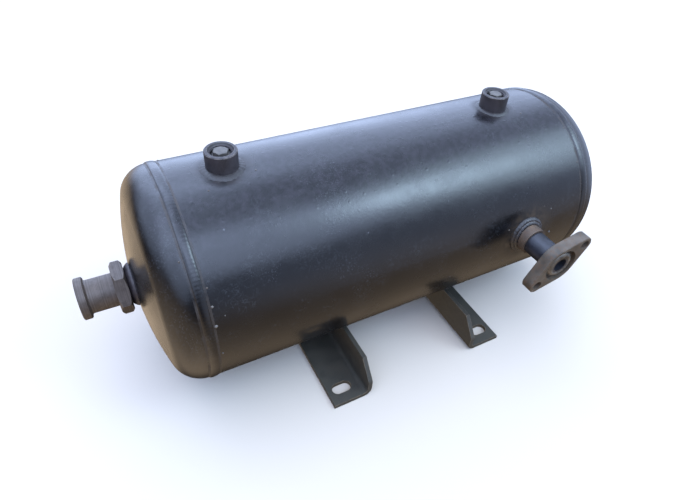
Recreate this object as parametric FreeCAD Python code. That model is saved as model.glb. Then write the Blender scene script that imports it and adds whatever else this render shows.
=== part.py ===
import FreeCAD, Part
import math
import os

os.makedirs("parts", exist_ok=True)

# Horizontal pressure tank, all sizes in millimetres.
# +X runs along the tank to the plain head, -Y is the side with the flanged
# nozzle, +Z is up. The origin is the middle of the four foot slots on the
# plane the feet stand on.

V = FreeCAD.Vector

# ---- tank body ----
TANK_OD = 219.0
WALL = 3.0
SEAM_SPACING = 442.0
HEAD_STRAIGHT = 2.0
HEAD_KNUCKLE = 31.5
HEAD_CROWN = 304.0
GIRTH_BEAD_WIDTH = 9.4
GIRTH_BEAD_HEIGHT = 1.6

# ---- feet: plate folded to an equal angle, lying across the tank ----
ANGLE_LEG = 45.0
ANGLE_THICKNESS = 5.0
ANGLE_ROOT_RADIUS = 5.0
ANGLE_TOE_RADIUS = 1.0
SADDLE_GAP = 11.6
FOOT_OVERHANG = 31.5
FOOT_FROM_SEAM = 109.0
FOOT_TAPER_RUN = 18.0
FOOT_END_HEIGHT = 22.0
FOOT_CORNER_RADIUS = 6.0
SLOT_LENGTH = 22.0
SLOT_WIDTH = 13.0
SLOT_FROM_EDGE = 17.0
SLOT_FROM_END = 18.0
FOOT_WELD_LEG = 4.0
FOOT_WELD_END_MARGIN = 2.5

# ---- plugged bosses on top ----
BOSS_WALL = 4.5
BOSS_RISE = 17.6
BOSS_THREAD_DIA = 21.0
BOSS_MOUTH_CHAMFER = 1.35
BOSS_WELD_LEG = 5.5
LEFT_BOSS_FROM_SEAM = 55.0
RIGHT_BOSS_FROM_SEAM = 74.0
TOP_HOLE_STEP = 1.5
PLUG_LENGTH = 9.0
PLUG_RECESS = 5.0
PLUG_HEAD_ACROSS = 12.5
PLUG_HEAD_BELOW_RIM = 0.6

# ---- side nozzle and its two-bolt flange ----
NOZZLE_FROM_SEAM = 83.0
NOZZLE_RISE = 8.0
NOZZLE_OD = 26.9
NOZZLE_BORE = 16.0
NOZZLE_STANDOFF = 54.0
NOZZLE_INSIDE = 4.0
SOCKET_WALL = 2.2
SOCKET_LENGTH = 13.0
SOCKET_WELD_LEG = 5.0
FLANGE_THICKNESS = 13.0
FLANGE_BOLT_SPACING = 65.0
FLANGE_BOLT_HOLE = 11.0
FLANGE_EAR_WALL = 3.7
FLANGE_RIM_WALL = 3.5
FLANGE_TURN = 37.5
FLANGE_RECESS_ROOM = 6.0
FLANGE_RECESS_DEPTH = 5.0
FLANGE_WELD_LEG = 3.0
PIPE_END_BELOW_FACE = 1.0

# ---- threaded fitting on the left head ----
END_BOSS_WALL = 3.3
END_BOSS_RISE = 4.6
END_BOSS_INSIDE = 6.0
END_BOSS_WELD_LEG = 4.2
END_THREAD_DIA = 26.4
END_THREAD_LENGTH = 10.0
NIPPLE_HEX_ACROSS = 46.0
NIPPLE_HEX_LENGTH = 11.5
NIPPLE_TUBE_OD = 32.5
NIPPLE_TUBE_LENGTH = 25.0
NIPPLE_LIP_OD = 40.5
NIPPLE_LIP_LENGTH = 7.5
NIPPLE_FILLET = 2.0
NIPPLE_BORE = 20.0

# ---- edges ----
EDGE_BREAK = 0.8
HEX_END_ANGLE = 30.0
HEX_END_STEP = 0.2

# ---- clearances ----
THREAD_CLEARANCE = 0.1
SET_IN_CLEARANCE = 0.1

# ---- sizes that follow ----
TANK_R = TANK_OD / 2
HALF = SEAM_SPACING / 2
BOSS_OD = BOSS_THREAD_DIA + 2 * BOSS_WALL
BOSS_MOUTH_DIA = BOSS_THREAD_DIA + 2 * BOSS_MOUTH_CHAMFER
TOP_HOLE_DIA = BOSS_THREAD_DIA - 2 * TOP_HOLE_STEP
NOZZLE_REACH = TANK_R + NOZZLE_STANDOFF
NOZZLE_HOLE_DIA = NOZZLE_OD + 2 * SET_IN_CLEARANCE
SOCKET_OD = NOZZLE_HOLE_DIA + 2 * SOCKET_WALL
FLANGE_END_RADIUS = FLANGE_BOLT_HOLE / 2 + FLANGE_EAR_WALL
FLANGE_RECESS_DIA = NOZZLE_HOLE_DIA + 2 * FLANGE_RECESS_ROOM
FLANGE_MIDDLE_RADIUS = FLANGE_RECESS_DIA / 2 + FLANGE_RIM_WALL
END_BOSS_OD = END_THREAD_DIA + 2 * END_BOSS_WALL
FOOT_LENGTH = TANK_OD + 2 * FOOT_OVERHANG
ANGLE_HEEL_RADIUS = ANGLE_ROOT_RADIUS + ANGLE_THICKNESS
AXIS_Z = ANGLE_THICKNESS + SADDLE_GAP + TANK_R
CROWN_BACK = math.sqrt(
    (HEAD_CROWN - HEAD_KNUCKLE) ** 2 - (TANK_R - HEAD_KNUCKLE) ** 2
)
CROWN_X = HALF + HEAD_STRAIGHT - CROWN_BACK
APEX_X = CROWN_X + HEAD_CROWN
NOZZLE_X = HALF - NOZZLE_FROM_SEAM
NOZZLE_Z = AXIS_Z + NOZZLE_RISE
BOSS_TOP_Z = AXIS_Z + TANK_R + BOSS_RISE
LEFT_BOSS_X = -HALF + LEFT_BOSS_FROM_SEAM
RIGHT_BOSS_X = HALF - RIGHT_BOSS_FROM_SEAM
FOOT_OUTER_X = HALF - FOOT_FROM_SEAM
FOOT_INNER_X = FOOT_OUTER_X - ANGLE_LEG
HALF_FOOT = FOOT_LENGTH / 2
COLLAR_X = -(APEX_X + END_BOSS_RISE)

AXIS_POINT = V(0, 0, AXIS_Z)
ALONG = V(1, 0, 0)
FRONT = V(0, -1, 0)
UP = V(0, 0, 1)


def face_of(edges):
    return Part.Face(Part.Wire(edges))


def line(a, b):
    return Part.makeLine(a, b)


def arc(a, b, c):
    return Part.Arc(a, b, c).toShape()


def polygon(points):
    return Part.Face(Part.makePolygon(points + [points[0]]))


def hexagon_bar(across, length):
    """Hexagon standing on the origin, its corners turned down at both ends."""
    corner = across / math.sqrt(3)
    points = []
    for step in range(6):
        turn = math.radians(60 * step)
        points.append(V(corner * math.cos(turn), corner * math.sin(turn), 0))
    low = across / 2 - HEX_END_STEP
    drop = (corner - low) * math.tan(math.radians(HEX_END_ANGLE))
    turned = polygon([
        V(0, 0, 0),
        V(low, 0, 0),
        V(corner, 0, drop),
        V(corner, 0, length - drop),
        V(low, 0, length),
        V(0, 0, length),
    ])
    return polygon(points).extrude(UP * length).common(spin(turned, V(0, 0, 0), UP))


def edges_across(shape, direction):
    """Edges that lie flat across a direction."""
    found = []
    for edge in shape.Edges:
        box = edge.BoundBox
        size = V(box.XLength, box.YLength, box.ZLength)
        if abs(size.dot(direction)) < SET_IN_CLEARANCE:
            found.append(edge)
    return found


def rod(dia, start, direction, length):
    return Part.makeCylinder(dia / 2, length, start, direction)


def export(shape, name):
    shape.exportStep("parts/" + name + ".step")


def on_tank(x, radius):
    """A point above the tank axis, ready to be spun about it."""
    return V(x, 0, AXIS_Z + radius)


def spin(face, point, direction, degrees=360):
    return face.revolve(point, direction, degrees)


# ---- shell and heads ----

def head_side(inset):
    """Knuckle and crown of one head, moved in from the outside by inset."""
    knuckle = HEAD_KNUCKLE - inset
    crown = HEAD_CROWN - inset
    straight_end = HALF + HEAD_STRAIGHT
    knuckle_radius = TANK_R - HEAD_KNUCKLE
    slope = math.atan2(knuckle_radius, CROWN_BACK)
    half_turn = (slope + math.pi / 2) / 2
    start = on_tank(straight_end, TANK_R - inset)
    middle = on_tank(
        straight_end + knuckle * math.cos(half_turn),
        knuckle_radius + knuckle * math.sin(half_turn),
    )
    join = on_tank(
        CROWN_X + crown * math.cos(slope),
        crown * math.sin(slope),
    )
    crown_middle = on_tank(
        CROWN_X + crown * math.cos(slope / 2),
        crown * math.sin(slope / 2),
    )
    apex = on_tank(CROWN_X + crown, 0)
    return start, middle, join, crown_middle, apex


def plain_head():
    outer = head_side(0)
    inner = head_side(WALL)
    seam_outer = on_tank(HALF, TANK_R)
    seam_inner = on_tank(HALF, TANK_R - WALL)
    edges = [
        line(seam_outer, outer[0]),
        arc(outer[0], outer[1], outer[2]),
        arc(outer[2], outer[3], outer[4]),
        line(outer[4], inner[4]),
        arc(inner[4], inner[3], inner[2]),
        arc(inner[2], inner[1], inner[0]),
        line(inner[0], seam_inner),
        line(seam_inner, seam_outer),
    ]
    return spin(face_of(edges), AXIS_POINT, ALONG)


def tank_cylinder():
    return rod(TANK_OD, on_tank(-HALF, 0), ALONG, SEAM_SPACING)


def shell():
    bore = rod(TANK_OD - 2 * WALL, on_tank(-HALF, 0), ALONG, SEAM_SPACING)
    body = tank_cylinder().cut(bore)
    for x in (LEFT_BOSS_X, RIGHT_BOSS_X):
        body = body.cut(rod(TOP_HOLE_DIA, V(x, 0, AXIS_Z), UP, TANK_OD))
    start = V(NOZZLE_X, 0, NOZZLE_Z)
    return body.cut(rod(NOZZLE_HOLE_DIA, start, FRONT, TANK_OD))


def left_head():
    head = plain_head().mirror(V(0, 0, 0), ALONG)
    hole = END_BOSS_OD + 2 * SET_IN_CLEARANCE
    return head.cut(rod(hole, on_tank(-HALF, 0), -ALONG, TANK_R))


def girth_weld(side, tank_body):
    """Low round bead over the seam, seated on the shell and the head."""
    seam = side * HALF
    reach = GIRTH_BEAD_WIDTH / 2
    root = TANK_R - WALL / 2
    left = on_tank(seam - reach, TANK_R)
    right = on_tank(seam + reach, TANK_R)
    edges = [
        arc(left, on_tank(seam, TANK_R + GIRTH_BEAD_HEIGHT), right),
        line(right, on_tank(seam + reach, root)),
        line(on_tank(seam + reach, root), on_tank(seam - reach, root)),
        line(on_tank(seam - reach, root), left),
    ]
    bead = spin(face_of(edges), AXIS_POINT, ALONG)
    for piece in tank_body:
        bead = bead.cut(piece)
    return bead


# ---- top bosses ----

def top_boss(x):
    start = V(x, 0, AXIS_Z)
    height = TANK_R + BOSS_RISE
    body = rod(BOSS_OD, start, UP, height)
    body = body.makeChamfer(EDGE_BREAK, edges_across(body, UP))
    body = body.cut(tank_cylinder())
    body = body.cut(rod(BOSS_THREAD_DIA, start, UP, height))
    mouth = Part.makeCone(
        BOSS_THREAD_DIA / 2,
        BOSS_MOUTH_DIA / 2,
        BOSS_MOUTH_CHAMFER,
        V(x, 0, BOSS_TOP_Z - BOSS_MOUTH_CHAMFER),
        UP,
    )
    return body.cut(mouth)


def fillet_ring(point, direction, dia, leg, depth):
    """Weld cone round a rod; depth carries it into the surface beneath."""
    wide = dia / 2 + leg + depth
    base = point - direction * depth
    cone = Part.makeCone(wide, dia / 2, leg + depth, base, direction)
    return cone.cut(rod(dia, base, direction, leg + depth))


def top_boss_weld(x):
    crown = V(x, 0, AXIS_Z + TANK_R)
    ring = fillet_ring(crown, UP, BOSS_OD, BOSS_WELD_LEG, BOSS_WELD_LEG)
    return ring.cut(tank_cylinder())


def plug(x):
    body_top = BOSS_TOP_Z - PLUG_RECESS
    dia = BOSS_THREAD_DIA - 2 * THREAD_CLEARANCE
    body = rod(dia, V(x, 0, body_top - PLUG_LENGTH), UP, PLUG_LENGTH)
    head = hexagon_bar(PLUG_HEAD_ACROSS, PLUG_RECESS - PLUG_HEAD_BELOW_RIM)
    head.translate(V(x, 0, body_top))
    return body.fuse(head).removeSplitter()


# ---- side nozzle ----

def nozzle_point(reach):
    return V(NOZZLE_X, -reach, NOZZLE_Z)


def nozzle_pipe():
    inner_end = TANK_R - WALL - NOZZLE_INSIDE
    length = NOZZLE_REACH - PIPE_END_BELOW_FACE - inner_end
    body = rod(NOZZLE_OD, nozzle_point(inner_end), FRONT, length)
    return body.cut(rod(NOZZLE_BORE, nozzle_point(inner_end), FRONT, length))


def side_socket():
    """Short sleeve round the nozzle, shaped to the shell."""
    length = TANK_R + SOCKET_LENGTH
    body = rod(SOCKET_OD, nozzle_point(0), FRONT, length).cut(tank_cylinder())
    return body.cut(rod(NOZZLE_HOLE_DIA, nozzle_point(0), FRONT, length))


def side_socket_weld():
    ring = fillet_ring(
        nozzle_point(TANK_R), FRONT, SOCKET_OD, SOCKET_WELD_LEG, SOCKET_WELD_LEG
    )
    return ring.cut(tank_cylinder())


def flange_outline():
    """Round middle drawn out to a round ear at each bolt."""
    ear_x = FLANGE_BOLT_SPACING / 2
    lean = math.acos((FLANGE_MIDDLE_RADIUS - FLANGE_END_RADIUS) / ear_x)
    mid_x = FLANGE_MIDDLE_RADIUS * math.cos(lean)
    mid_z = FLANGE_MIDDLE_RADIUS * math.sin(lean)
    out_x = ear_x + FLANGE_END_RADIUS * math.cos(lean)
    out_z = FLANGE_END_RADIUS * math.sin(lean)
    tip_x = ear_x + FLANGE_END_RADIUS
    edges = [
        arc(V(mid_x, 0, mid_z), V(0, 0, FLANGE_MIDDLE_RADIUS), V(-mid_x, 0, mid_z)),
        line(V(-mid_x, 0, mid_z), V(-out_x, 0, out_z)),
        arc(V(-out_x, 0, out_z), V(-tip_x, 0, 0), V(-out_x, 0, -out_z)),
        line(V(-out_x, 0, -out_z), V(-mid_x, 0, -mid_z)),
        arc(V(-mid_x, 0, -mid_z), V(0, 0, -FLANGE_MIDDLE_RADIUS), V(mid_x, 0, -mid_z)),
        line(V(mid_x, 0, -mid_z), V(out_x, 0, -out_z)),
        arc(V(out_x, 0, -out_z), V(tip_x, 0, 0), V(out_x, 0, out_z)),
        line(V(out_x, 0, out_z), V(mid_x, 0, mid_z)),
    ]
    return face_of(edges)


def flange():
    body = flange_outline().extrude(-FRONT * FLANGE_THICKNESS)
    body = body.makeChamfer(EDGE_BREAK, edges_across(body, FRONT))
    body = body.cut(
        rod(NOZZLE_HOLE_DIA, V(0, 0, 0), -FRONT, FLANGE_THICKNESS)
    )
    body = body.cut(
        rod(FLANGE_RECESS_DIA, V(0, 0, 0), -FRONT, FLANGE_RECESS_DEPTH)
    )
    for side in (-1, 1):
        start = V(side * FLANGE_BOLT_SPACING / 2, 0, 0)
        body = body.cut(rod(FLANGE_BOLT_HOLE, start, -FRONT, FLANGE_THICKNESS))
    body.rotate(V(0, 0, 0), FRONT, FLANGE_TURN)
    body.translate(nozzle_point(NOZZLE_REACH))
    return body


def flange_weld():
    floor = nozzle_point(NOZZLE_REACH - FLANGE_RECESS_DEPTH)
    return fillet_ring(floor, FRONT, NOZZLE_OD, FLANGE_WELD_LEG, 0)


# ---- fitting on the left head ----

def end_boss():
    start = on_tank(-APEX_X + END_BOSS_INSIDE, 0)
    length = END_BOSS_INSIDE + END_BOSS_RISE
    body = rod(END_BOSS_OD, start, -ALONG, length)
    return body.cut(rod(END_THREAD_DIA, start, -ALONG, length))


def end_boss_weld():
    apex = on_tank(-APEX_X, 0)
    ring = fillet_ring(
        apex, -ALONG, END_BOSS_OD, END_BOSS_WELD_LEG, WALL / 2
    )
    return ring.cut(plain_head().mirror(V(0, 0, 0), ALONG))


def hex_collar():
    """The hexagon turned to lie along the tank, corners front and back."""
    collar = hexagon_bar(NIPPLE_HEX_ACROSS, NIPPLE_HEX_LENGTH)
    collar.rotate(V(0, 0, 0), V(0, 1, 0), -90)
    collar.rotate(V(0, 0, 0), ALONG, 90)
    collar.translate(on_tank(COLLAR_X, 0))
    return collar


def nipple_barrel():
    """Tube and end lip behind the hexagon, with a round corner at the lip."""
    start_x = COLLAR_X - NIPPLE_HEX_LENGTH
    lip_x = start_x - NIPPLE_TUBE_LENGTH
    end_x = lip_x - NIPPLE_LIP_LENGTH
    tube = NIPPLE_TUBE_OD / 2
    lip = NIPPLE_LIP_OD / 2
    centre_x = lip_x + NIPPLE_FILLET
    centre_r = tube + NIPPLE_FILLET
    bend = NIPPLE_FILLET * math.sqrt(0.5)
    edges = [
        line(on_tank(start_x, 0), on_tank(start_x, tube)),
        line(on_tank(start_x, tube), on_tank(centre_x, tube)),
        arc(
            on_tank(centre_x, tube),
            on_tank(centre_x - bend, centre_r - bend),
            on_tank(lip_x, centre_r),
        ),
        line(on_tank(lip_x, centre_r), on_tank(lip_x, lip - EDGE_BREAK)),
        line(on_tank(lip_x, lip - EDGE_BREAK), on_tank(lip_x - EDGE_BREAK, lip)),
        line(on_tank(lip_x - EDGE_BREAK, lip), on_tank(end_x + EDGE_BREAK, lip)),
        line(on_tank(end_x + EDGE_BREAK, lip), on_tank(end_x, lip - EDGE_BREAK)),
        line(on_tank(end_x, lip - EDGE_BREAK), on_tank(end_x, 0)),
        line(on_tank(end_x, 0), on_tank(start_x, 0)),
    ]
    return spin(face_of(edges), AXIS_POINT, ALONG)


def end_nipple():
    thread_dia = END_THREAD_DIA - 2 * THREAD_CLEARANCE
    thread = rod(thread_dia, on_tank(COLLAR_X, 0), ALONG, END_THREAD_LENGTH)
    body = thread.fuse(hex_collar()).fuse(nipple_barrel())
    start = on_tank(COLLAR_X + END_THREAD_LENGTH, 0)
    length = (
        END_THREAD_LENGTH
        + NIPPLE_HEX_LENGTH
        + NIPPLE_TUBE_LENGTH
        + NIPPLE_LIP_LENGTH
    )
    body = body.cut(rod(NIPPLE_BORE, start, -ALONG, length))
    return body.removeSplitter()


# ---- feet ----

def angle_section():
    """Folded angle seen along the bar, flat leg down, on the outer side."""
    outer_x = FOOT_OUTER_X
    inner_x = FOOT_INNER_X
    thick = ANGLE_THICKNESS
    toe = ANGLE_TOE_RADIUS
    root = ANGLE_ROOT_RADIUS
    heel = ANGLE_HEEL_RADIUS
    toe_bend = toe * (1 - math.sqrt(0.5))
    root_bend = root * (1 - math.sqrt(0.5))
    heel_bend = heel * (1 - math.sqrt(0.5))
    face_x = inner_x + thick
    y = -HALF_FOOT
    edges = [
        line(V(inner_x + heel, y, 0), V(outer_x, y, 0)),
        line(V(outer_x, y, 0), V(outer_x, y, thick - toe)),
        arc(
            V(outer_x, y, thick - toe),
            V(outer_x - toe_bend, y, thick - toe_bend),
            V(outer_x - toe, y, thick),
        ),
        line(V(outer_x - toe, y, thick), V(face_x + root, y, thick)),
        arc(
            V(face_x + root, y, thick),
            V(face_x + root_bend, y, thick + root_bend),
            V(face_x, y, thick + root),
        ),
        line(V(face_x, y, thick + root), V(face_x, y, ANGLE_LEG - toe)),
        arc(
            V(face_x, y, ANGLE_LEG - toe),
            V(face_x - toe_bend, y, ANGLE_LEG - toe_bend),
            V(face_x - toe, y, ANGLE_LEG),
        ),
        line(V(face_x - toe, y, ANGLE_LEG), V(inner_x, y, ANGLE_LEG)),
        line(V(inner_x, y, ANGLE_LEG), V(inner_x, y, heel)),
        arc(
            V(inner_x, y, heel),
            V(inner_x + heel_bend, y, heel_bend),
            V(inner_x + heel, y, 0),
        ),
    ]
    return face_of(edges)


def foot_side_outline():
    """Side view of the bar: full height, sloping down at each end."""
    taper_y = HALF_FOOT - FOOT_TAPER_RUN
    points = [
        V(FOOT_INNER_X, -HALF_FOOT, 0),
        V(FOOT_INNER_X, -HALF_FOOT, FOOT_END_HEIGHT),
        V(FOOT_INNER_X, -taper_y, ANGLE_LEG),
        V(FOOT_INNER_X, taper_y, ANGLE_LEG),
        V(FOOT_INNER_X, HALF_FOOT, FOOT_END_HEIGHT),
        V(FOOT_INNER_X, HALF_FOOT, 0),
    ]
    blank = polygon(points).extrude(ALONG * ANGLE_LEG)
    corners = []
    for edge in blank.Edges:
        middle = edge.CenterOfMass
        at_end = abs(abs(middle.y) - HALF_FOOT) < SET_IN_CLEARANCE
        at_height = abs(middle.z - FOOT_END_HEIGHT) < SET_IN_CLEARANCE
        if at_end and at_height:
            corners.append(edge)
    return blank.makeFillet(FOOT_CORNER_RADIUS, corners)


def slot(y):
    centre_x = FOOT_OUTER_X - SLOT_FROM_EDGE
    half_run = (SLOT_LENGTH - SLOT_WIDTH) / 2
    body = Part.makeBox(
        2 * half_run,
        SLOT_WIDTH,
        ANGLE_THICKNESS,
        V(centre_x - half_run, y - SLOT_WIDTH / 2, 0),
    )
    for side in (-1, 1):
        end = V(centre_x + side * half_run, y, 0)
        body = body.fuse(rod(SLOT_WIDTH, end, UP, ANGLE_THICKNESS))
    return body


def right_foot():
    bar = angle_section().extrude(V(0, FOOT_LENGTH, 0))
    bar = bar.common(foot_side_outline())
    bar = bar.cut(tank_cylinder())
    slot_y = HALF_FOOT - SLOT_FROM_END
    for y in (-slot_y, slot_y):
        bar = bar.cut(slot(y))
    return bar


def right_foot_welds():
    """Bead on each side of the upright leg, round the belly of the shell."""
    reach = math.acos((AXIS_Z - ANGLE_LEG) / TANK_R)
    margin = FOOT_WELD_END_MARGIN / TANK_R
    half_turn = math.degrees(reach - margin)
    beads = []
    for face_x, side in ((FOOT_INNER_X, -1), (FOOT_INNER_X + ANGLE_THICKNESS, 1)):
        section = polygon([
            on_tank(face_x, -TANK_R),
            on_tank(face_x + side * FOOT_WELD_LEG, -TANK_R),
            on_tank(face_x, -TANK_R - FOOT_WELD_LEG),
        ])
        section.rotate(AXIS_POINT, ALONG, -half_turn)
        beads.append(spin(section, AXIS_POINT, ALONG, 2 * half_turn))
    return Part.makeCompound(beads)


def mirrored(shape):
    return shape.mirror(V(0, 0, 0), ALONG)


def build():
    shell_body = shell()
    right_head_body = plain_head()
    left_head_body = left_head()
    export(shell_body, "shell")
    export(left_head_body, "left_head")
    export(right_head_body, "right_head")
    export(girth_weld(-1, (shell_body, left_head_body)), "left_girth_weld")
    export(girth_weld(1, (shell_body, right_head_body)), "right_girth_weld")
    for side, x in (("left", LEFT_BOSS_X), ("right", RIGHT_BOSS_X)):
        export(top_boss(x), side + "_top_boss")
        export(top_boss_weld(x), side + "_top_boss_weld")
        export(plug(x), side + "_plug")
    export(nozzle_pipe(), "nozzle_pipe")
    export(side_socket(), "side_socket")
    export(side_socket_weld(), "side_socket_weld")
    export(flange(), "flange")
    export(flange_weld(), "flange_weld")
    export(end_boss(), "end_boss")
    export(end_boss_weld(), "end_boss_weld")
    export(end_nipple(), "end_nipple")
    foot = right_foot()
    foot_welds = right_foot_welds()
    export(foot, "right_foot")
    export(foot_welds, "right_foot_welds")
    export(mirrored(foot), "left_foot")
    export(mirrored(foot_welds), "left_foot_welds")


build()
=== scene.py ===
# %% [markdown]
# # Finishing a small steel air reservoir
# The tank is already built to size as a set of named steel parts. This lesson
# loads them as a fixed frame, gives every part the surface of the real metal
# or paint, models rippled weld beads in place of the plain ones, and sets up a
# plain studio.

# %% Load the frame
import math
import bpy
from mathutils import Matrix, Vector


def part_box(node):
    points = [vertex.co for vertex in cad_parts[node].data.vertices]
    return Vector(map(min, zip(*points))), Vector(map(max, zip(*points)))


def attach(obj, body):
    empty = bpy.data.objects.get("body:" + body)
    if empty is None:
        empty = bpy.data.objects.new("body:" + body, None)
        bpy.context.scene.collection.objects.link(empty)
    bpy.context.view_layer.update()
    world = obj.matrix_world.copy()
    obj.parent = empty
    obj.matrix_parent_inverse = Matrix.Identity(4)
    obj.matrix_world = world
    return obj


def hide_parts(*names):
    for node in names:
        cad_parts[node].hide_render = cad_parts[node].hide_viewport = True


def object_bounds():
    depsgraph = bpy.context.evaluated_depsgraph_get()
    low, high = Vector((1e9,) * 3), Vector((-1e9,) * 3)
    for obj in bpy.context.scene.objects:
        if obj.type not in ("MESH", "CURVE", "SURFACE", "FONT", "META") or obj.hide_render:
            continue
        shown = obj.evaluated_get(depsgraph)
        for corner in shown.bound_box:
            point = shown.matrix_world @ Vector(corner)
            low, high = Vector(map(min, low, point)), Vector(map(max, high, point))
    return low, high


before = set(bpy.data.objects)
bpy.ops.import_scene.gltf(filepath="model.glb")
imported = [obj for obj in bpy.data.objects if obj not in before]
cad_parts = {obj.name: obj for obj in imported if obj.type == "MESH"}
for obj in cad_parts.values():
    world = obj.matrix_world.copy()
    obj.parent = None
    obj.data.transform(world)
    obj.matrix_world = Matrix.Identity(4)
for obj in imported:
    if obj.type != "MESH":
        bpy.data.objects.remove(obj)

cad_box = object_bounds()
print("parts:", len(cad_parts), "box:", cad_box)

# %% [markdown]
# ## Sizes that everything else follows
# Every new piece sits against a part that is already there, so its place is
# read from that part's box.

# %% Measure the tank
MM = 0.001
shell_low, shell_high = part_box("shell")
TANK_R = (shell_high.z - shell_low.z) / 2
AXIS = Vector((0, 0, (shell_high.z + shell_low.z) / 2))
LEFT_SEAM = shell_low.x
RIGHT_SEAM = shell_high.x
FLOOR_Z = cad_box[0][2]
ALONG = Vector((1, 0, 0))
UP = Vector((0, 0, 1))
FRONT = Vector((0, -1, 0))
print("radius mm", round(TANK_R / MM, 1), "axis height mm", round(AXIS.z / MM, 1))

# %% [markdown]
# The finishes and the beads also need the places of the side nozzle and of the
# two bosses on top, so these are measured in the same way.

# %% Measure the fittings
socket_low, socket_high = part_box("side_socket")
NOZZLE = Vector((
    (socket_low.x + socket_high.x) / 2, -TANK_R,
    (socket_low.z + socket_high.z) / 2))
SOCKET_R = (socket_high.x - socket_low.x) / 2
boss_low, boss_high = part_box("left_top_boss")
BOSS_R = (boss_high.x - boss_low.x) / 2
BOSS_TOP = boss_high.z
BOSS_PLACES = []
for side in ("left", "right"):
    low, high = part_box(side + "_top_boss")
    BOSS_PLACES.append(Vector(((low.x + high.x) / 2, 0, AXIS.z + TANK_R)))
print("nozzle", NOZZLE, "bosses", BOSS_PLACES)


# %% [markdown]
# ## Two helpers for materials
# Paint charts and web pages give colours as hex codes in sRGB, but Blender
# mixes light in linear values, so one function converts them. A second one
# adds any node, sets its options and fills or links its sockets, which keeps
# each material readable as a short list of layers.

# %% Colour and node helpers
def colour(code):
    """Linear colour from an sRGB hex code."""
    linear = []
    for start in (1, 3, 5):
        value = int(code[start:start + 2], 16) / 255
        low = value / 12.92
        high = ((value + 0.055) / 1.055) ** 2.4
        linear.append(low if value <= 0.04045 else high)
    return (*linear, 1.0)


def add(tree, kind, options, sockets):
    """Adds a node. A socket is filled with a value or linked from an output."""
    made = tree.nodes.new(kind)
    for name, value in options.items():
        setattr(made, name, value)
    for name, value in sockets.items():
        if isinstance(value, bpy.types.NodeSocket):
            tree.links.new(value, made.inputs[name])
        else:
            made.inputs[name].default_value = value
    return made


def new_material(name):
    """An empty material with its object coordinates and its output."""
    material = bpy.data.materials.new(name)
    material.use_nodes = True
    tree = material.node_tree
    tree.nodes.clear()
    place = add(tree, "ShaderNodeTexCoord", {}, {}).outputs["Object"]
    output = add(tree, "ShaderNodeOutputMaterial", {}, {})
    return material, tree, place, output


# %% [markdown]
# ## Masks shared by the finishes
# Real finishes are never even: paint wears through on edges and dust gathers
# in patches. Each mask is a value from 0 to 1 that a finish uses to mix two
# surfaces. The edge mask compares the true surface with one whose corners are
# rounded off, so it finds edges on any shape without painting by hand.

# %% Masks
def spots(tree, place, cell, size, cover):
    """Small round spots, about one per cell, kept only where cover is high."""
    cells = add(tree, "ShaderNodeTexVoronoi", {}, {
        "Vector": place, "Scale": 1 / cell,
    }).outputs["Distance"]
    near = add(tree, "ShaderNodeMapRange", {}, {
        "Value": cells, "From Min": size / cell, "From Max": 0.5 * size / cell,
    }).outputs["Result"]
    return add(tree, "ShaderNodeMath", {"operation": "MULTIPLY"}, {
        0: near, 1: cover}).outputs[0]


def clouds(tree, place, grain, low, high, detail=5.0):
    """Soft patches of one grain size, cut off between a low and a high value."""
    noise = add(tree, "ShaderNodeTexNoise", {}, {
        "Vector": place, "Scale": 1 / grain, "Detail": detail, "Roughness": 0.62,
    }).outputs["Fac"]
    return add(tree, "ShaderNodeMapRange", {"interpolation_type": "SMOOTHSTEP"}, {
        "Value": noise, "From Min": low, "From Max": high,
    }).outputs["Result"]


def worn_edges(tree, place, width, grain):
    """Edges that are rubbed bare, broken up so the wear isn't an even line."""
    rounded = add(tree, "ShaderNodeBevel", {"samples": 6}, {"Radius": width})
    true = add(tree, "ShaderNodeNewGeometry", {}, {}).outputs["Normal"]
    same = add(tree, "ShaderNodeVectorMath", {"operation": "DOT_PRODUCT"}, {
        0: rounded.outputs["Normal"], 1: true}).outputs["Value"]
    edge = add(tree, "ShaderNodeMapRange", {}, {
        "Value": same, "From Min": 0.995, "From Max": 0.90,
    }).outputs["Result"]
    patchy = clouds(tree, place, grain, 0.36, 0.56)
    return add(tree, "ShaderNodeMath", {"operation": "MULTIPLY"}, {
        0: edge, 1: patchy}).outputs[0]


def scratches(tree, place, grain, width, cover):
    """Thin curling lines, where a noise passes through its middle value."""
    noise = add(tree, "ShaderNodeTexNoise", {}, {
        "Vector": place, "Scale": 1 / grain, "Detail": 3, "Distortion": 0.8,
    }).outputs["Fac"]
    line = add(tree, "ShaderNodeMath", {"operation": "COMPARE"}, {
        0: noise, 1: 0.5, 2: width}).outputs[0]
    return add(tree, "ShaderNodeMath", {"operation": "MULTIPLY"}, {
        0: line, 1: cover}).outputs[0]


def near_axis(tree, place, point, direction, inner, outer):
    """1 within the inner radius of an axis line, fading to 0 at the outer."""
    off = add(tree, "ShaderNodeVectorMath", {"operation": "SUBTRACT"}, {
        0: place, 1: point}).outputs["Vector"]
    across = add(tree, "ShaderNodeVectorMath", {"operation": "CROSS_PRODUCT"}, {
        0: off, 1: direction}).outputs["Vector"]
    radius = add(tree, "ShaderNodeVectorMath", {"operation": "LENGTH"}, {
        0: across}).outputs["Value"]
    return add(tree, "ShaderNodeMapRange", {"interpolation_type": "SMOOTHSTEP"}, {
        "Value": radius, "From Min": outer, "From Max": inner}).outputs["Result"]


def mixed(tree, mask, first, second):
    """One colour where the mask is 0 and another where it is 1."""
    return add(tree, "ShaderNodeMix", {"data_type": "RGBA"}, {
        0: mask, 6: first, 7: second}).outputs[2]


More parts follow.
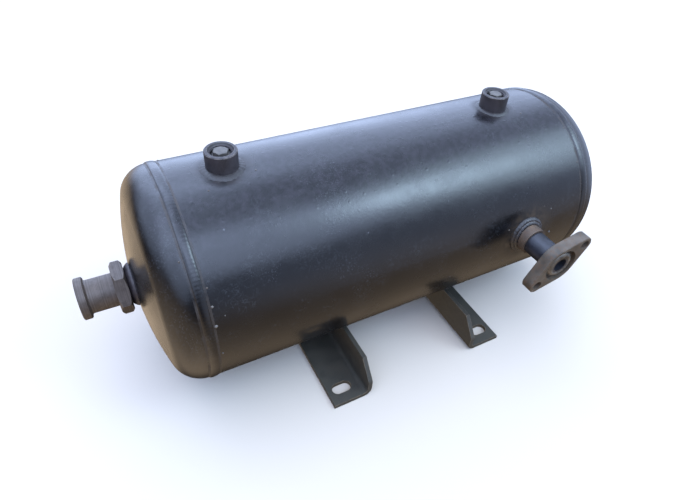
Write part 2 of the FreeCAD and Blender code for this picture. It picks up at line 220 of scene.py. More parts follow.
# %% [markdown]
# ## Black alkyd enamel over rolled steel
# The tank is sprayed with one coat of glossy black enamel. Black paint shows
# almost nothing of its own, only what it mirrors, so the sky gives it all its
# blue. What makes it look real is how that mirror is spoiled: cloudy gloss,
# pale dust specks in patches, small raised spots, a grey film along the top that
# is also a painted highlight of the sky on the upward faces, and brown stain
# held in the two narrow valleys beside each girth weld. Each one is a mask from
# a pattern sized in millimetres.

# %% Where the tank is stained
STAIN_FROM_SEAM = 5.2 * MM
STAIN_WIDTH = 2.2 * MM


def seam_stain(tree, place):
    """Two thin lines beside each girth weld, from the distance to the seams."""
    along = add(tree, "ShaderNodeSeparateXYZ", {}, {"Vector": place}).outputs["X"]
    distance = add(tree, "ShaderNodeMath", {"operation": "ABSOLUTE"}, {
        0: along}).outputs[0]
    from_seam = add(tree, "ShaderNodeMath", {"operation": "SUBTRACT"}, {
        0: distance, 1: RIGHT_SEAM}).outputs[0]
    off = add(tree, "ShaderNodeMath", {"operation": "ABSOLUTE"}, {
        0: from_seam}).outputs[0]
    line = add(tree, "ShaderNodeMath", {"operation": "COMPARE"}, {
        0: off, 1: STAIN_FROM_SEAM, 2: STAIN_WIDTH / 2}).outputs[0]
    patchy = clouds(tree, place, 16 * MM, 0.30, 0.62)
    return add(tree, "ShaderNodeMath", {"operation": "MULTIPLY"}, {
        0: line, 1: patchy}).outputs[0]


# %% [markdown]
# Welding the fittings scorched the paint round them, so it is browner and
# duller there. Each ring is full out to one radius and gone at another, and
# the nozzle's is the widest and the brownest.

# %% Where the paint is burnt
BURNT = (
    (BOSS_PLACES[0], UP, BOSS_R + 5 * MM, BOSS_R + 16 * MM, "#201d1e"),
    (BOSS_PLACES[1], UP, BOSS_R + 3 * MM, BOSS_R + 13 * MM, "#201d1e"),
    (NOZZLE, FRONT, SOCKET_R + 4 * MM, SOCKET_R + 26 * MM, "#2e251c"),
)


def burnt_rings(tree, place, paint):
    """The paint's colour with the burnt rings on it, and where they lie."""
    bloom = clouds(tree, place, 7 * MM, 0.34, 0.66)
    rings = 0.0
    for point, direction, inner, outer, burnt in BURNT:
        close = near_axis(tree, place, point, direction, inner, outer)
        patch = add(tree, "ShaderNodeMath", {"operation": "MULTIPLY"}, {
            0: close, 1: bloom}).outputs[0]
        paint = mixed(tree, patch, paint, colour(burnt))
        rings = add(tree, "ShaderNodeMath", {"operation": "MAXIMUM"}, {
            0: close, 1: rings}).outputs[0]
    return paint, rings


# %% [markdown]
# The layers go on in the order in which they did on the real tank: paint, a
# grey film on top that also paints the sky's highlight onto the upward faces,
# dust, chips, rub marks, burnt paint near the fittings and last the stain in
# the seams. The cured enamel's IOR is 1.5, and its roughness of 0.2 to 0.3
# gives the soft but clear streak of light along the side.

# %% Enamel on the tank
BURNT_ROUGHER = 0.22
STAIN_ROUGHER = 0.35


def tank_finish():
    material, tree, place, output = new_material("black_alkyd_enamel_sprayed")
    facing = add(tree, "ShaderNodeNewGeometry", {}, {}).outputs["Normal"]
    upward = add(tree, "ShaderNodeSeparateXYZ", {}, {"Vector": facing})
    on_top = add(tree, "ShaderNodeMapRange", {"interpolation_type": "SMOOTHSTEP"}, {
        "Value": upward.outputs["Z"], "From Min": 0.55, "From Max": 0.95,
    }).outputs["Result"]
    # Lighter grey on the upward faces: a dust film and a painted highlight of the sky.
    grime_and_sheen_patches = clouds(tree, place, 6 * MM, 0.35, 0.75)
    film_and_sheen = add(tree, "ShaderNodeMath", {"operation": "MULTIPLY"}, {
        0: on_top, 1: grime_and_sheen_patches}).outputs[0]
    filmed_and_sheened = mixed(tree, film_and_sheen, colour("#08080a"), colour("#1d1b21"))
    patches = clouds(tree, place, 55 * MM, 0.48, 0.66, 2.0)
    grit = clouds(tree, place, 1.5 * MM, 0.55, 0.68, 2.0)
    specks = add(tree, "ShaderNodeMath", {"operation": "MULTIPLY"}, {
        0: patches, 1: grit}).outputs[0]
    dusted = mixed(tree, specks, filmed_and_sheened, colour("#25272b"))
    few = clouds(tree, place, 90 * MM, 0.46, 0.60, 2.0)
    chips = spots(tree, place, 24 * MM, 1.1 * MM, few)
    chipped = mixed(tree, chips, dusted, colour("#3e4045"))
    rubbed = clouds(tree, place, 38 * MM, 0.50, 0.62, 3.0)
    lines = scratches(tree, place, 7 * MM, 0.012, rubbed)
    scuffed = mixed(tree, lines, chipped, colour("#1d1f22"))
    ringed, rings = burnt_rings(tree, place, scuffed)
    stain = seam_stain(tree, place)
    stained = mixed(tree, stain, ringed, colour("#26201c"))
    dull = clouds(tree, place, 45 * MM, 0.32, 0.68)
    gloss = add(tree, "ShaderNodeMapRange", {}, {
        "Value": dull, "To Min": 0.20, "To Max": 0.30,
    }).outputs["Result"]
    burnt = add(tree, "ShaderNodeMath", {"operation": "MULTIPLY_ADD"}, {
        0: rings, 1: BURNT_ROUGHER, 2: gloss}).outputs[0]
    rough = add(tree, "ShaderNodeMath", {"operation": "MULTIPLY_ADD"}, {
        0: stain, 1: STAIN_ROUGHER, 2: burnt}).outputs[0]
    peel = add(tree, "ShaderNodeTexNoise", {}, {
        "Vector": place, "Scale": 1 / (5 * MM), "Detail": 4, "Roughness": 0.6,
    }).outputs["Fac"]
    runs = spots(tree, place, 9 * MM, 1.7 * MM, on_top)
    raised = add(tree, "ShaderNodeMath", {"operation": "ADD"}, {
        0: peel, 1: runs}).outputs[0]
    grooved = add(tree, "ShaderNodeMath", {"operation": "SUBTRACT"}, {
        0: raised, 1: stain}).outputs[0]
    bump = add(tree, "ShaderNodeBump", {}, {
        "Strength": 0.5, "Distance": 0.18 * MM, "Height": grooved,
    }).outputs["Normal"]
    shader = add(tree, "ShaderNodeBsdfPrincipled", {}, {
        "Base Color": stained, "Roughness": rough, "Normal": bump, "IOR": 1.5,
    })
    tree.links.new(shader.outputs[0], output.inputs[0])
    return material


tank_enamel = tank_finish()

# %% [markdown]
# ## The same paint on small parts
# On the bosses and feet the coat is thinner and has gone matt, and it is
# rubbed through on the edges, where bare steel shows pale or brown. Inside a
# boss's rim the colour is painted near-black as the shade down in the hole.

# %% Enamel worn through on edges
MOUTH_R = 12.0 * MM
ROUGH_SPREAD = 0.08


def thin_enamel(name, base, second, bare, rough, edge_width, shaded_mouths=()):
    material, tree, place, output = new_material(name)
    patchy = clouds(tree, place, 12 * MM, 0.35, 0.65)
    coat = mixed(tree, patchy, colour(base), colour(second))
    grit = clouds(tree, place, 1.2 * MM, 0.45, 0.70, 2.0)
    dusted = mixed(tree, grit, coat, colour(second))
    wear = worn_edges(tree, place, edge_width, 5 * MM)
    worn = mixed(tree, wear, dusted, colour(bare))
    # Painted shade: near-black inside each boss's mouth.
    for point in shaded_mouths:
        mouth_shade = near_axis(tree, place, point, UP, MOUTH_R - 0.3 * MM, MOUTH_R)
        worn = mixed(tree, mouth_shade, worn, colour("#151110"))
    dull = add(tree, "ShaderNodeMapRange", {}, {
        "Value": patchy, "To Min": rough - ROUGH_SPREAD,
        "To Max": rough + ROUGH_SPREAD,
    }).outputs["Result"]
    grit = add(tree, "ShaderNodeTexNoise", {}, {
        "Vector": place, "Scale": 1 / (2 * MM), "Detail": 4,
    }).outputs["Fac"]
    bump = add(tree, "ShaderNodeBump", {}, {
        "Strength": 0.4, "Distance": 0.15 * MM, "Height": grit,
    }).outputs["Normal"]
    shader = add(tree, "ShaderNodeBsdfPrincipled", {}, {
        "Base Color": worn, "Roughness": dull, "Normal": bump, "IOR": 1.5,
    })
    tree.links.new(shader.outputs[0], output.inputs[0])
    return material


boss_enamel = thin_enamel(
    "black_enamel_on_turned_boss", "#19171a", "#2b272b", "#77706a", 0.62, 1.0 * MM,
    BOSS_PLACES)
bead_enamel = thin_enamel(
    "black_enamel_on_weld_beads", "#100f11", "#221f20", "#4f4740", 0.45, 0.7 * MM)
foot_enamel = thin_enamel(
    "black_enamel_on_folded_plate", "#21201a", "#2e2b23", "#5a4e3e", 0.74, 1.1 * MM)


# %% [markdown]
# ## Bare and rusting steel
# The flange and the sleeve at the pipe's root carry light rust, the pipe and
# the end boss still have their dark mill scale, and weld metal was never
# painted. All of them are one recipe: two steel tones mixed by a cloudy noise,
# rust in the hollows of a finer noise, and a grain too fine to see except as a
# soft sheen.

# %% Steel recipe
def steel(name, light, dark, rust, rust_from, metallic, roughness, grain):
    material, tree, place, output = new_material(name)
    cloud = add(tree, "ShaderNodeTexNoise", {}, {
        "Vector": place, "Scale": 1 / (14 * MM), "Detail": 5, "Roughness": 0.6,
    }).outputs["Fac"]
    tone = add(tree, "ShaderNodeMapRange", {}, {
        "Value": cloud, "From Min": 0.35, "From Max": 0.65,
    }).outputs["Result"]
    metal = mixed(tree, tone, colour(dark), colour(light))
    fine = add(tree, "ShaderNodeTexNoise", {}, {
        "Vector": place, "Scale": 1 / (3.5 * MM), "Detail": 6, "Roughness": 0.7,
    }).outputs["Fac"]
    bloom = add(tree, "ShaderNodeMapRange", {}, {
        "Value": fine, "From Min": rust_from, "From Max": rust_from + 0.18,
        "To Max": 0.85,
    }).outputs["Result"]
    rusted = mixed(tree, bloom, metal, colour(rust))
    rough = add(tree, "ShaderNodeMapRange", {}, {
        "Value": fine, "From Min": 0.3, "From Max": 0.7,
        "To Min": roughness - 0.08, "To Max": roughness + 0.12,
    }).outputs["Result"]
    bump = add(tree, "ShaderNodeBump", {}, {
        "Strength": 0.4, "Distance": grain * MM, "Height": fine,
    }).outputs["Normal"]
    shader = add(tree, "ShaderNodeBsdfPrincipled", {}, {
        "Base Color": rusted, "Roughness": rough, "Normal": bump,
        "Metallic": metallic,
    })
    tree.links.new(shader.outputs[0], output.inputs[0])
    return material


flange_steel = steel(
    "flange_steel_machined_light_rust", "#544d44", "#37322a", "#4a3828", 0.46, 0.2,
    0.55, 0.25)
rusty_steel = steel(
    "sleeve_steel_light_rust", "#54473a", "#3b322b", "#4a3629", 0.50, 0.1, 0.6, 0.2)
pipe_steel = steel(
    "pipe_steel_blue_mill_scale", "#2a2d36", "#17181d", "#33302d", 0.62, 0.2, 0.34,
    0.15)
boss_steel = steel(
    "boss_steel_dark_mill_scale", "#3a3436", "#242024", "#40322c", 0.60, 0.2, 0.5,
    0.15)
weld_steel = steel(
    "weld_metal_bare", "#77726a", "#3c3832", "#4e3e30", 0.50, 0.5, 0.42, 0.3)
spatter_steel = steel(
    "weld_spatter_dulled", "#56524e", "#3e3a37", "#4a3b31", 0.52, 0.2, 0.5, 0.2)

# %% [markdown]
# ## Plugs with a shaded thread
# The plugs are grey cast iron. The thread under each hexagonal head sits down
# in the boss and is painted almost black as shade, so the finish is light only
# inside a circle just round the head's corners.

# %% Plug iron
HEAD_R = 7.4 * MM


def plug_finish():
    material, tree, place, output = new_material("plug_iron_cast_shaded_thread")
    cast = clouds(tree, place, 4 * MM, 0.35, 0.65)
    iron = mixed(tree, cast, colour("#3b3836"), colour("#4a4744"))
    # Painted shade: the thread below the head is near-black, down in the boss.
    surface = colour("#0f0d0c")
    for point in BOSS_PLACES:
        head = near_axis(tree, place, point, UP, HEAD_R, HEAD_R + 0.2 * MM)
        surface = mixed(tree, head, surface, iron)
    grain = add(tree, "ShaderNodeTexNoise", {}, {
        "Vector": place, "Scale": 1 / (0.8 * MM), "Detail": 2,
    }).outputs["Fac"]
    bump = add(tree, "ShaderNodeBump", {}, {
        "Strength": 0.4, "Distance": 0.1 * MM, "Height": grain,
    }).outputs["Normal"]
    shader = add(tree, "ShaderNodeBsdfPrincipled", {}, {
        "Base Color": surface, "Roughness": 0.6, "Normal": bump,
    })
    tree.links.new(shader.outputs[0], output.inputs[0])
    return material


plug_iron = plug_finish()

# %% [markdown]
# ## Turned steel, left bare
# The end fitting was cut on a lathe, which leaves rings about a millimetre
# apart all along it, too shallow to feel but enough to break up its shine. A
# noise read only along the tank's length gives such rings. Bare steel this old
# has dulled to a brownish grey, darker where oil has crept over it.

# %% Turned steel
def turned_finish():
    material, tree, place, output = new_material("mild_steel_turned_and_dulled")
    along = add(tree, "ShaderNodeSeparateXYZ", {}, {"Vector": place}).outputs["X"]
    rings = add(tree, "ShaderNodeTexNoise", {"noise_dimensions": "1D"}, {
        "W": along, "Scale": 1 / (1.1 * MM), "Detail": 2,
    }).outputs["Fac"]
    patchy = clouds(tree, place, 16 * MM, 0.34, 0.66)
    metal = mixed(tree, patchy, colour("#453d38"), colour("#524943"))
    oil = clouds(tree, place, 6 * MM, 0.46, 0.70)
    oiled = mixed(tree, oil, metal, colour("#3b322b"))
    wear = worn_edges(tree, place, 0.9 * MM, 6 * MM)
    bright = mixed(tree, wear, oiled, colour("#60574f"))
    lines = add(tree, "ShaderNodeMapRange", {}, {
        "Value": rings, "From Min": 0.40, "From Max": 0.62, "To Max": 0.5,
    }).outputs["Result"]
    ringed = mixed(tree, lines, bright, colour("#332c27"))
    rough = add(tree, "ShaderNodeMapRange", {}, {
        "Value": rings, "From Min": 0.3, "From Max": 0.7,
        "To Min": 0.42, "To Max": 0.58,
    }).outputs["Result"]
    bump = add(tree, "ShaderNodeBump", {}, {
        "Strength": 0.5, "Distance": 0.15 * MM, "Height": rings,
    }).outputs["Normal"]
    shader = add(tree, "ShaderNodeBsdfPrincipled", {}, {
        "Base Color": ringed, "Roughness": rough, "Normal": bump,
        "Metallic": 0.25,
    })
    tree.links.new(shader.outputs[0], output.inputs[0])
    return material


turned_steel = turned_finish()

# %% [markdown]
# ## Paint the parts that keep their shape
# A part whose shape is right only needs its surface, so the new material is
# put in each of its slots.

# %% Assign materials to the frame
FINISHES = {
    tank_enamel: ("shell", "left_head", "right_head"),
    boss_enamel: ("left_top_boss", "right_top_boss"),
    foot_enamel: ("left_foot", "right_foot"),
    turned_steel: ("end_nipple",),
    boss_steel: ("end_boss",),
    flange_steel: ("flange",),
    rusty_steel: ("side_socket",),
    pipe_steel: ("nozzle_pipe",),
    plug_iron: ("left_plug", "right_plug"),
}
for material, names in FINISHES.items():
    for name in names:
        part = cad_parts[name]
        for slot in part.material_slots:
            slot.material = material
    print(material.name, "on", ", ".join(names))


# %% [markdown]
# ## How a weld bead is modelled
# A welder lays metal in small overlapping puddles, so a bead is a rounded
# strip with crescent ripples a few millimetres apart. Here one cross-section
# is a circle, squashed to the bead's width and height and sunk half into the
# joint. Spinning it round the joint gives the strip. Every third section is
# then fattened, and the crown is dragged back, which makes the crescents.

# %% Helpers for selecting and shaping
SECTION_POINTS = 12
SECTIONS_PER_RIPPLE = 3
MERGE_BELOW = 0.02 * MM


def select_nothing():
    for thing in bpy.context.selected_objects:
        thing.select_set(False)


def pick(piece, wanted):
    """In edit mode, leaves selected only the vertices whose place is wanted."""
    bpy.ops.mesh.select_all(action="DESELECT")
    bpy.ops.object.mode_set(mode="OBJECT")
    for vertex in piece.data.vertices:
        vertex.select = wanted(vertex.co)
    bpy.ops.object.mode_set(mode="EDIT")


def around(axis, first):
    """A function that gives a point's turn about an axis, from a first point."""
    point, direction = axis
    across = (first - point) - direction * (first - point).dot(direction)
    across.normalize()
    side = direction.cross(across)

    def turn(place):
        out = place - point
        return math.atan2(out.dot(side), out.dot(across)) % (2 * math.pi)

    return turn


# %% [markdown]
# The bead's own cell follows. A full turn closes on itself, so its doubled
# points are merged. A part turn keeps two open ends, which are filled.

# %% One bead, spun round an axis
FATTENED = {0: 1.0, 1: 0.35}    # share of the ripple by section
CROWN_FROM = 0.6                # share of the bead's height
DRAG = 0.3                      # share of a section's pitch
TURN_AXES = {"X": Vector((1, 0, 0)), "Y": Vector((0, 1, 0)), "Z": Vector((0, 0, 1))}


def bead(name, middle, axis, width, height, lean, pitch, ripple, sweep=2 * math.pi):
    """A rippled bead whose section is centred on middle.

    lean turns its crown from facing away from the axis to facing along it."""
    point, direction = axis
    outward = middle - point
    outward -= direction * outward.dot(direction)
    radius = outward.length
    outward.normalize()
    travel = direction.cross(outward)
    count = max(8, round(sweep * radius / pitch)) * SECTIONS_PER_RIPPLE
    wide = math.cos(lean) * direction - math.sin(lean) * outward
    tall = travel.cross(wide)
    select_nothing()
    bpy.ops.mesh.primitive_circle_add(vertices=SECTION_POINTS, radius=1)
    piece = bpy.context.object
    piece.name = name
    piece.data.name = name
    turned = Matrix((wide, tall, travel)).transposed().to_4x4()
    size = Matrix.Diagonal((width / 2, height, 1, 1))
    piece.matrix_world = Matrix.Translation(middle) @ turned @ size
    bpy.ops.object.transform_apply(location=True, rotation=True, scale=True)
    bpy.ops.object.mode_set(mode="EDIT")
    bpy.ops.mesh.select_all(action="SELECT")
    bpy.ops.mesh.spin(steps=count, angle=sweep, center=point, axis=direction)
    bpy.ops.mesh.select_all(action="SELECT")
    bpy.ops.mesh.remove_doubles(threshold=MERGE_BELOW)
    bpy.ops.mesh.select_all(action="SELECT")
    bpy.ops.mesh.fill_holes(sides=SECTION_POINTS)
    bpy.ops.mesh.select_all(action="SELECT")
    bpy.ops.mesh.normals_make_consistent(inside=False)
    turn = around(axis, middle)
    step = sweep / count

    def section(place):
        return round(turn(place) / step) % SECTIONS_PER_RIPPLE

    for index, share in FATTENED.items():
        pick(piece, lambda place: section(place) == index)
        bpy.ops.transform.shrink_fatten(value=ripple * share)

    def on_crown(place):
        off = place - point
        along = off.dot(direction) - (middle - point).dot(direction)
        out = (off - direction * off.dot(direction)).length - radius
        return along * math.sin(lean) + out * math.cos(lean) > CROWN_FROM * height

    pick(piece, on_crown)
    for letter, vector in TURN_AXES.items():
        if abs(vector.dot(direction)) > 0.9:
            bpy.ops.transform.rotate(
                value=DRAG * pitch / radius, orient_axis=letter, center_override=point)
    bpy.ops.object.mode_set(mode="OBJECT")
    print(name, "sections", count, "faces", len(piece.data.polygons))
    return piece


# %% [markdown]
# Every bead is finished in the same three steps: a displacement makes it
# uneven, the passes of one joint are joined, and the piece is given its
# material and handed to the frame in place of the plain ring it stands for.

# %% Roughen, smooth and hand over a piece
def uneven(piece, amount, grain):
    """Pushes the surface in and out at random, as cooled weld metal is."""
    texture = bpy.data.textures.new(piece.name + "_unevenness", "CLOUDS")
    texture.noise_scale = grain
    push = piece.modifiers.new("unevenness", "DISPLACE")
    push.texture = texture
    push.texture_coords = "LOCAL"
    push.strength = amount
    bpy.context.view_layer.objects.active = piece
    bpy.ops.object.modifier_apply(modifier=push.name)


def hand_over(piece, material, finish, *stands_for):
    """Smooths a piece, gives it its surface and fixes it to the tank."""
    select_nothing()
    piece.select_set(True)
    bpy.context.view_layer.objects.active = piece
    bpy.ops.object.shade_smooth_by_angle(angle=math.radians(50))
    piece.data.materials.clear()
    piece.data.materials.append(material)
    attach(piece, "root")
    if stands_for:
        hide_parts(*stands_for)


def joined(name, pieces):
    select_nothing()
    for piece in pieces:
        piece.select_set(True)
    bpy.context.view_layer.objects.active = pieces[0]
    if len(pieces) > 1:
        bpy.ops.object.join()
    pieces[0].name = name
    pieces[0].data.name = name
    return pieces[0]


# %% [markdown]
# ## The two girth seams
# Each dished head is butted to the shell and welded by machine while the tank
# turns under the torch, so these beads are wide, low and very even. A spin
# about the tank's own axis gives exactly that, with ripples only just raised.

# %% Girth beads
for side, seam in (("left", LEFT_SEAM), ("right", RIGHT_SEAM)):
    crest = Vector((seam, 0, AXIS.z + TANK_R - 0.15 * MM))
    piece = bead(
        side + "_girth_bead", crest, (AXIS, ALONG), width=9.2 * MM,
        height=1.15 * MM, lean=0, pitch=3.6 * MM, ripple=0.10 * MM)
    uneven(piece, 0.35 * MM, 9 * MM)
    hand_over(piece, tank_enamel, "tank_paint", side + "_girth_weld")


# %% [markdown]
# ## Hand-laid fillets round the bosses
# These beads are laid by hand, so they are lumpy and their ripples are bold.
# A fillet is spun flat first. The tank's side then falls away from under it,
# so each point is lowered by as much as the round shell drops below a flat
# one at that distance from the middle.

# %% Drop a flat ring onto the round shell
def drape(piece, down, across, centre):
    """Moves points along down by the shell's fall at their place across."""
    for vertex in piece.data.vertices:
        off = (vertex.co - centre).dot(across)
        vertex.co += down * (TANK_R - math.sqrt(TANK_R ** 2 - off ** 2))


# %% [markdown]
# The left boss has a broad flat fillet and the right one a narrow, steeper
# one. The last number is how many degrees the crown tips out from the boss.

# %% Fillets round the top bosses
for side, centre, width, tip in (
        ("left", BOSS_PLACES[0], 10.0 * MM, 20),
        ("right", BOSS_PLACES[1], 7.0 * MM, 30)):
    middle = centre + ALONG * (BOSS_R + 0.30 * width) - UP * 0.5 * MM
    piece = bead(
        side + "_boss_bead", middle, (centre, UP), width, height=1.5 * MM,
        lean=math.radians(90 - tip), pitch=4.4 * MM, ripple=0.35 * MM)
    uneven(piece, 1.1 * MM, 7 * MM)
    drape(piece, -UP, FRONT, AXIS)
    hand_over(piece, bead_enamel, "tank_paint", side + "_top_boss_weld")

# %% [markdown]
# ## Two passes round the side nozzle
# The nozzle carries a pipe, so its sleeve is welded in two passes: one ring
# against the shell and a second one on top of it against the sleeve. Seen
# close, that gives two scalloped rings side by side.

# %% Nozzle fillet
passes = []
for label, out, rise, width in (
        ("outer", 4.2 * MM, 0.4 * MM, 5.6 * MM),
        ("inner", 1.2 * MM, 2.2 * MM, 5.2 * MM)):
    middle = NOZZLE + ALONG * (SOCKET_R + out) + FRONT * rise
    ring = bead(
        "nozzle_bead_" + label, middle, (NOZZLE, FRONT), width, height=1.9 * MM,
        lean=math.radians(35), pitch=3.8 * MM, ripple=0.35 * MM)
    uneven(ring, 0.9 * MM, 6 * MM)
    passes.append(ring)
nozzle_bead = joined("nozzle_bead", passes)
drape(nozzle_bead, -FRONT, UP, AXIS)
hand_over(nozzle_bead, bead_enamel, "tank_paint", "side_socket_weld")

# %% [markdown]
# ## The fillet behind the end fitting
# The threaded boss is set into the crown of the left head. The head is so
# nearly flat there that the ring needs no draping.

# %% End boss fillet
end_low, end_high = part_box("end_boss")
weld_low, weld_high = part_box("end_boss_weld")
end_centre = Vector((weld_high.x - 1.6 * MM, 0, AXIS.z))
end_r = (end_high.z - end_low.z) / 2
middle = end_centre + UP * (end_r + 1.4 * MM) - ALONG * 1.0 * MM
end_bead = bead(
    "end_boss_bead", middle, (end_centre, -ALONG), width=9.4 * MM,
    height=1.7 * MM, lean=math.radians(45), pitch=4.0 * MM, ripple=0.25 * MM)
uneven(end_bead, 0.7 * MM, 7 * MM)
hand_over(end_bead, boss_steel, "dark_boss", "end_boss_weld")

# %% [markdown]
# ## The beads along the feet
# Each foot's upright leg is cut to the shell's curve and welded on both
# sides, so the bead is a part turn about the tank's axis. It starts at the
# front and passes under the tank.

# %% Foot beads
for side in ("left", "right"):
    weld_low, weld_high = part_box(side + "_foot_welds")
    reach = math.asin(weld_high.y / TANK_R)
    beads = []
    for x, face in ((weld_low.x, 1), (weld_high.x, -1)):
        first = FRONT * math.sin(reach) - UP * math.cos(reach)
        start = AXIS + ALONG * (x + face * 2.6 * MM) + first * (
            TANK_R + 1.0 * MM)
        beads.append(bead(
            f"{side}_foot_bead_{len(beads)}", start, (AXIS, -ALONG),
            width=6.2 * MM, height=1.7 * MM, lean=math.radians(40) * face,
            pitch=4.0 * MM, ripple=0.3 * MM, sweep=2 * reach))
    piece = joined(side + "_foot_beads", beads)
    uneven(piece, 0.7 * MM, 6 * MM)
    hand_over(piece, foot_enamel, "foot_paint", side + "_foot_welds")

# %% [markdown]
# ## The weld inside the flange
# The pipe's end is welded in the flange's recess: a root pass in the corner
# and a cap that runs over the pipe's end. It was never painted, so the weld
# metal shows, dulled and lightly rusted.

# %% Flange bead
weld_low, weld_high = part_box("flange_weld")
pipe_low, pipe_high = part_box("nozzle_pipe")
pipe_r = (pipe_high.x - pipe_low.x) / 2
recess = Vector((NOZZLE.x, weld_high.y, NOZZLE.z))
passes = []
for label, out, rise, width, lean in (
        ("root", 1.4 * MM, 1.0 * MM, 6.0 * MM, 45),
        ("cap", -0.5 * MM, 2.8 * MM, 5.2 * MM, 62)):
    middle = recess + ALONG * (pipe_r + out) + FRONT * rise
    ring = bead(
        "flange_bead_" + label, middle, (recess, FRONT), width, height=1.3 * MM,
        lean=math.radians(lean), pitch=4.4 * MM, ripple=0.3 * MM)
    uneven(ring, 0.7 * MM, 5 * MM)
    passes.append(ring)
flange_bead = joined("flange_bead", passes)
hand_over(flange_bead, weld_steel, "weld_steel", "flange_weld")

# %% [markdown]
# ## Weld spatter
# Drops of molten steel fly from the arc and freeze on the tank near each
# joint. One drop is a small ball with its underside pressed flat. It is copied
# to each place, turned so that its flat side lies on the tank, and its size is
# varied. The drops have gone dull grey.

# %% Copy a modelled piece
def copy_of(pattern, spot, up=UP, size=1.0):
    """A copy with its own mesh, scaled, stood along up and moved to its spot."""
    select_nothing()
    pattern.select_set(True)
    bpy.context.view_layer.objects.active = pattern
    bpy.ops.object.duplicate(linked=False)
    copy = bpy.context.object
    copy.location = spot
    copy.rotation_euler = up.to_track_quat("Z", "Y").to_euler()
    copy.scale = (size, size, size)
    bpy.ops.object.transform_apply(location=True, rotation=True, scale=True)
    return copy


# %% [markdown]
# The drops sit mostly beside the two seams and round the nozzle, where the
# welder worked longest. Each one is given by its place along the tank, its
# turn from the front upwards in degrees, and its size in millimetres.

# %% Spatter drops
SPATTER = (
    (-213.6, 24, 1.3), (-214.2, 14, 1.7), (-213.8, 33, 0.9), (-212.9, -4, 1.0),
    (-229.0, 47, 0.9), (-205.0, 18, 0.7), (176.0, 0, 1.7), (170.5, 17, 1.0),
    (110.0, 12, 1.0), (160.0, 20, 0.8), (117.5, -14, 0.9), (-140.0, 82, 1.0),
    (-187.0, 76, 0.9), (172.0, 79, 0.9), (214.0, 40, 0.9), (213.2, 62, 0.8),
    (-213.4, 118, 1.2), (214.4, 135, 1.1), (-214.0, 160, 1.0), (213.6, 200, 1.2),
)
SUNK = 0.05 * MM
select_nothing()
bpy.ops.mesh.primitive_uv_sphere_add(segments=10, ring_count=6, radius=1 * MM)
pattern = bpy.context.object
bpy.ops.object.mode_set(mode="EDIT")
pick(pattern, lambda place: place.z < -0.1 * MM)
bpy.ops.transform.resize(value=(1.25, 1.25, 0.15), center_override=(0, 0, 0))
pick(pattern, lambda place: place.z > 0.5 * MM)
bpy.ops.transform.resize(value=(0.9, 0.9, 0.8), center_override=(0, 0, 0))
bpy.ops.object.mode_set(mode="OBJECT")
drops = []
for along, turn, size in SPATTER:
    angle = math.radians(turn)
    outward = FRONT * math.cos(angle) + UP * math.sin(angle)
    spot = AXIS + ALONG * along * MM + outward * (TANK_R - SUNK)
    drops.append(copy_of(pattern, spot, outward, size))
bpy.data.objects.remove(pattern)
spatter = joined("weld_spatter", drops)
uneven(spatter, 0.3 * MM, 1.5 * MM)
hand_over(spatter, spatter_steel, "weld_steel")
print("spatter drops", len(SPATTER), "faces", len(spatter.data.polygons))

# %% [markdown]
# ## Thread turns in the boss mouths
# Above each plug the last turns of the boss's thread can be seen. At this
# size a screw thread and plain rings look alike, so each turn is a
# diamond-shaped section spun round the boss's own axis.

# %% Mouth threads
THREAD_R = 10.45 * MM
THREAD_PITCH = 1.8 * MM
THREAD_DEPTH = 0.75 * MM
FIRST_TURN = 1.9 * MM           # below the boss's rim
TURNS = 2
select_nothing()
bpy.ops.mesh.primitive_circle_add(
    vertices=4, radius=THREAD_DEPTH, location=(THREAD_R, 0, 0),
    rotation=(math.radians(90), 0, 0))
pattern = bpy.context.object
bpy.ops.object.transform_apply(location=True, rotation=True, scale=True)
bpy.ops.object.mode_set(mode="EDIT")
bpy.ops.mesh.select_all(action="SELECT")
bpy.ops.mesh.spin(steps=48, angle=2 * math.pi, center=(0, 0, 0), axis=UP)
bpy.ops.mesh.select_all(action="SELECT")
bpy.ops.mesh.remove_doubles(threshold=MERGE_BELOW)
bpy.ops.mesh.select_all(action="SELECT")
bpy.ops.mesh.normals_make_consistent(inside=False)
bpy.ops.object.mode_set(mode="OBJECT")
for side, centre in zip(("left", "right"), BOSS_PLACES):
    turns = []
    for count in range(TURNS):
        height = BOSS_TOP - FIRST_TURN - count * THREAD_PITCH
        turns.append(copy_of(pattern, Vector((centre.x, 0, height))))
    thread = joined(side + "_mouth_thread", turns)
    hand_over(thread, boss_steel, "dark_boss")
    print(thread.name, "faces", len(thread.data.polygons))
bpy.data.objects.remove(pattern)

# %% [markdown]
# ## A plain studio
# A pale floor runs past every edge of the view. The tank doesn't mirror it,
# because the underside of the real tank mirrors a dark warm ground.

# %% Floor
FLOOR_SIZE = 16                 # metres
select_nothing()
bpy.ops.mesh.primitive_plane_add(size=FLOOR_SIZE, location=(0, 0, FLOOR_Z))
floor = bpy.context.object
floor.name = "studio_floor"
paper, tree, place, output = new_material("matt_white_paper")
shader = add(tree, "ShaderNodeBsdfPrincipled", {}, {
    "Base Color": colour("#a8a198"), "Roughness": 0.9, "Specular IOR Level": 0.2})
tree.links.new(shader.outputs[0], output.inputs[0])
floor.data.materials.append(paper)
floor.visible_glossy = False
floor.visible_diffuse = False
floor.visible_shadow = False

# %% [markdown]
# ## Soft panels of light
# Black paint is lit by what it mirrors, and a plain even sky would leave the
# tank flat. So the sky is almost dark and carries large soft panels. The high
# ones at the left and behind give the pale top, and the small one at the right
# front draws the bright streak along the side. The low warm ones are the
# ground, which turns the underside brown. Each panel is a cone of directions
# that is full in its middle and fades at its edge.

# %% Sky of soft panels
scene = bpy.context.scene
scene.view_settings.view_transform = "Standard"
world = bpy.data.worlds.new("soft_sky")
scene.world = world
world.use_nodes = True
tree = world.node_tree
tree.nodes.clear()
ray = add(tree, "ShaderNodeTexCoord", {}, {}).outputs["Generated"]
sky = add(tree, "ShaderNodeBackground", {}, {
    "Color": colour("#ffe9d6"), "Strength": 0.06}).outputs[0]

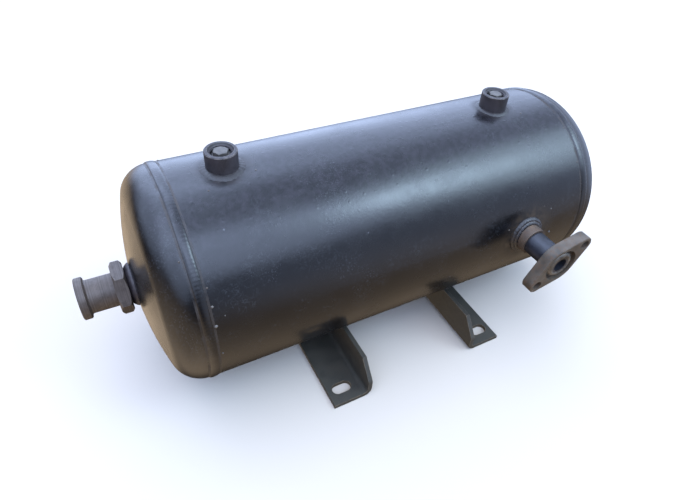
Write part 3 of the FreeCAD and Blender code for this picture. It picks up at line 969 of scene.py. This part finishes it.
# turn from straight behind and height in degrees, then the half angles at
# which a panel is still full and at which it has faded out, and its strength
DAYLIGHT, WINDOW, BOUNCE = "#c4d8ff", "#cbe8ff", "#ffe4c4"
PANELS = (
    ("overhead", 0, 85, 10, 50, 2, DAYLIGHT),
    ("left end, high", -60, 50, 15, 55, 3, DAYLIGHT),
    ("left front, high", -140, 45, 10, 45, 3, DAYLIGHT),
    ("front, high", 165, 50, 10, 30, 4, DAYLIGHT),
    ("right front", 120, 40, 5, 25, 5, WINDOW),
    ("right front window", 130, 45, 0, 12, 10, WINDOW),
    ("right end", 90, 20, 10, 50, 2, DAYLIGHT),
    ("behind", 15, 25, 20, 50, 4, DAYLIGHT),
    ("front", 150, 10, 10, 40, 1, DAYLIGHT),
    ("ground at left", -120, -40, 10, 60, 1, BOUNCE),
    ("ground behind", -30, -30, 10, 35, 1, BOUNCE),
    ("ground in front", 150, -45, 10, 60, 0.5, BOUNCE),
)
for name, turn, rise, full, faded, strength, code in PANELS:
    turn, rise = math.radians(turn), math.radians(rise)
    toward = Vector((
        math.sin(turn) * math.cos(rise), math.cos(turn) * math.cos(rise),
        math.sin(rise)))
    facing = add(tree, "ShaderNodeVectorMath", {"operation": "DOT_PRODUCT"}, {
        0: ray, 1: toward}).outputs["Value"]
    shape = add(tree, "ShaderNodeMapRange", {"interpolation_type": "SMOOTHSTEP"}, {
        "Value": facing, "From Min": math.cos(math.radians(faded)),
        "From Max": math.cos(math.radians(full)), "To Max": strength,
    }).outputs["Result"]
    panel = add(tree, "ShaderNodeBackground", {}, {
        "Color": colour(code), "Strength": shape}).outputs[0]
    sky = add(tree, "ShaderNodeAddShader", {}, {0: sky, 1: panel}).outputs[0]
    print("panel", name, "toward", tuple(round(part, 2) for part in toward))
add(tree, "ShaderNodeOutputWorld", {}, {"Surface": sky})

# %% [markdown]
# One wide lamp overhead warms the dull surfaces a little. It isn't seen in the
# paint, which mirrors only the soft panels.

# %% Warm ceiling light
LAMP_SIZE = 3                   # metres
LAMP_HEIGHT = 3
LAMP_WATTS = 62
lamp = bpy.data.lights.new("warm_ceiling", "AREA")
lamp.size = LAMP_SIZE
lamp.energy = LAMP_WATTS
lamp.color = colour("#fff0c8")[:3]
ceiling = bpy.data.objects.new("warm_ceiling", lamp)
scene.collection.objects.link(ceiling)
ceiling.location = (0, 0, LAMP_HEIGHT)
ceiling.visible_glossy = False

# %% [markdown]
# ## The camera
# It stands at the left end, a little above, and close, so the near end looks
# larger than the far one. Its place is given from the tank's middle.

# %% Camera
CAMERA_FROM_MIDDLE = Vector((-267.6, -398.7, 378.5)) * MM
CAMERA_TURN = [math.radians(angle) for angle in (47.66, -3.66, -28.08)]
eye = bpy.data.cameras.new("camera")
eye.sensor_width = 36
eye.lens = 26.94
camera = bpy.data.objects.new("camera", eye)
scene.collection.objects.link(camera)
camera.location = AXIS + CAMERA_FROM_MIDDLE
camera.rotation_euler = CAMERA_TURN
scene.camera = camera
